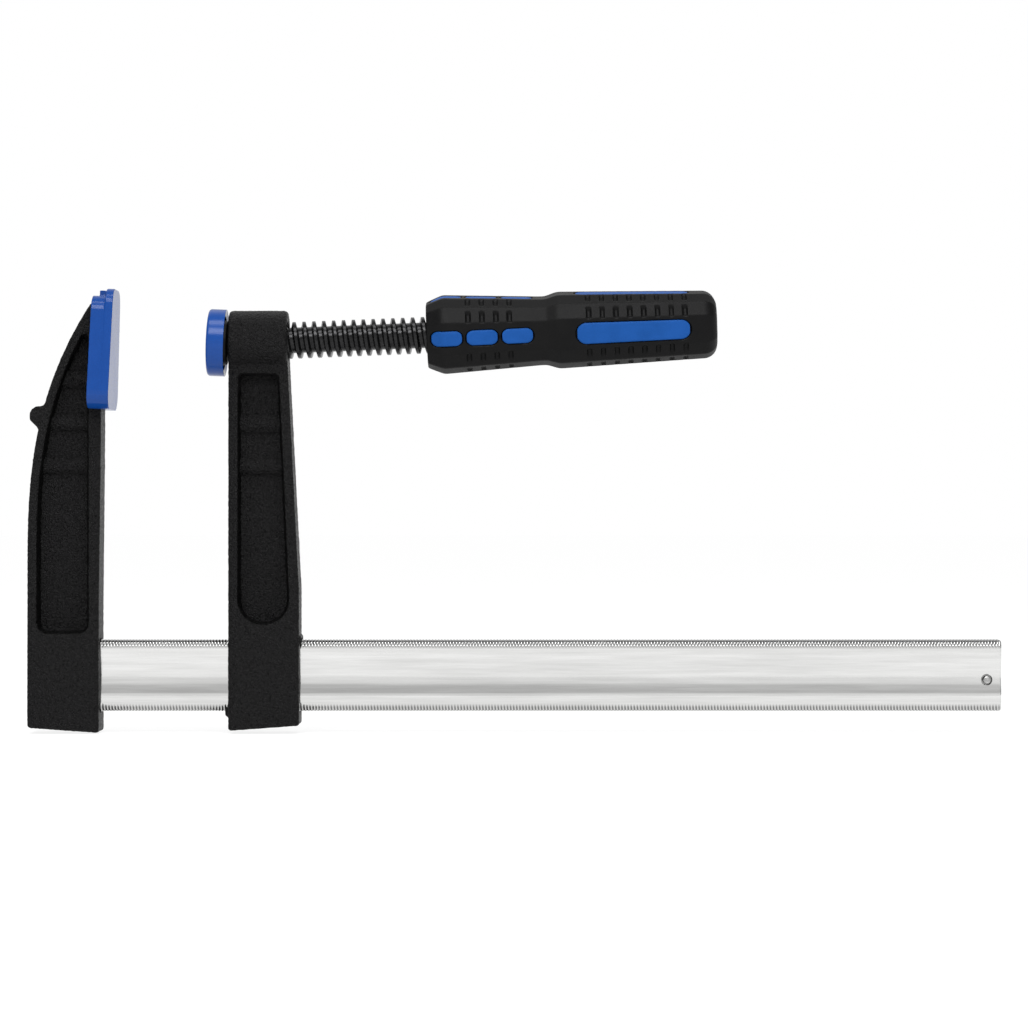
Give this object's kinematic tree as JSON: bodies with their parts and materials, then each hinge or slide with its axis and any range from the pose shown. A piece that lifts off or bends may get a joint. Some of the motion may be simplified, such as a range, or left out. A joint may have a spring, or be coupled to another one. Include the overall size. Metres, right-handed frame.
{
  "type": "f clamp",
  "caption": "F clamp: a fixed jaw on a serrated steel rail and a sliding arm whose screw, turned by a grip handle, pushes a swivelling padded jaw towards it.",
  "frame": {"origin": "centre of the fixed jaw's clamping face, where the screw's axis meets it", "axes": "+X along the rail away from the fixed jaw, +Z from the rail to the jaws, +Y to the back of the clamp as seen with the fixed jaw on the left"},
  "size_m": [0.393, 0.0326, 0.1789],
  "materials": {
    "bright_steel": "bright plated drawn steel, fine lengthwise lines",
    "spring_steel": "bare spring wire",
    "black_casting": "black grainy powder coat on a malleable casting, satin",
    "black_steel": "black oxide steel, lightly oiled",
    "blue_cap": "semi-gloss moulded plastic",
    "blue_inlay": "soft matte plastic",
    "black_plastic": "hard moulded plastic",
    "black_rubber": "soft matte moulded rubber"
  },
  "bodies": {
    "rail_and_fixed_arm": {"rail": "bright_steel", "rail_stop_pin": "bright_steel", "fixed_arm": "black_casting", "fixed_jaw_cap": "blue_cap"},
    "sliding_arm": {"sliding_arm": "black_casting"},
    "screw_carrier": {"pad_snap_ring": "spring_steel"},
    "spindle": {"spindle": "black_steel", "handle_core": "black_plastic", "handle_grip": "black_rubber", "short_inlay_a_top": "blue_inlay", "short_inlay_a_front": "blue_inlay", "short_inlay_a_bottom": "blue_inlay", "short_inlay_a_back": "blue_inlay", "short_inlay_b_top": "blue_inlay", "short_inlay_b_front": "blue_inlay", "short_inlay_b_bottom": "blue_inlay", "short_inlay_b_back": "blue_inlay", "short_inlay_c_top": "blue_inlay", "short_inlay_c_front": "blue_inlay", "short_inlay_c_bottom": "blue_inlay", "short_inlay_c_back": "blue_inlay", "long_inlay_top": "blue_inlay", "long_inlay_front": "blue_inlay", "long_inlay_bottom": "blue_inlay", "long_inlay_back": "blue_inlay"},
    "swivel_pad": {"swivel_plate": "black_steel", "moving_jaw_cap": "blue_cap"}
  },
  "joints": [
    {"name": "arm_slide", "type": "slide", "parent": "rail_and_fixed_arm", "child": "sliding_arm", "axis": [1, 0, 0], "range_m": [0, 0.274]},
    {"name": "spindle_travel", "type": "slide", "parent": "sliding_arm", "child": "screw_carrier", "axis": [-0.9992, 0, -0.0393], "range_m": [0, 0.0356]},
    {"name": "spindle_turn", "type": "hinge", "parent": "screw_carrier", "child": "spindle", "pos_m": [0.0448, 0, 0.00176], "axis": [-0.9992, 0, -0.0393], "range_deg": [0, 3150]},
    {"name": "pad_tilt", "type": "hinge", "parent": "screw_carrier", "child": "swivel_pad", "pos_m": [0.0448, 0, 0.00176], "axis": [0, -1, 0], "range_deg": [0, 6]}
  ],
  "couplings": [
    {"joint": "spindle_travel", "follows": "spindle_turn", "m_per_rad": 0.00063662}
  ]
}
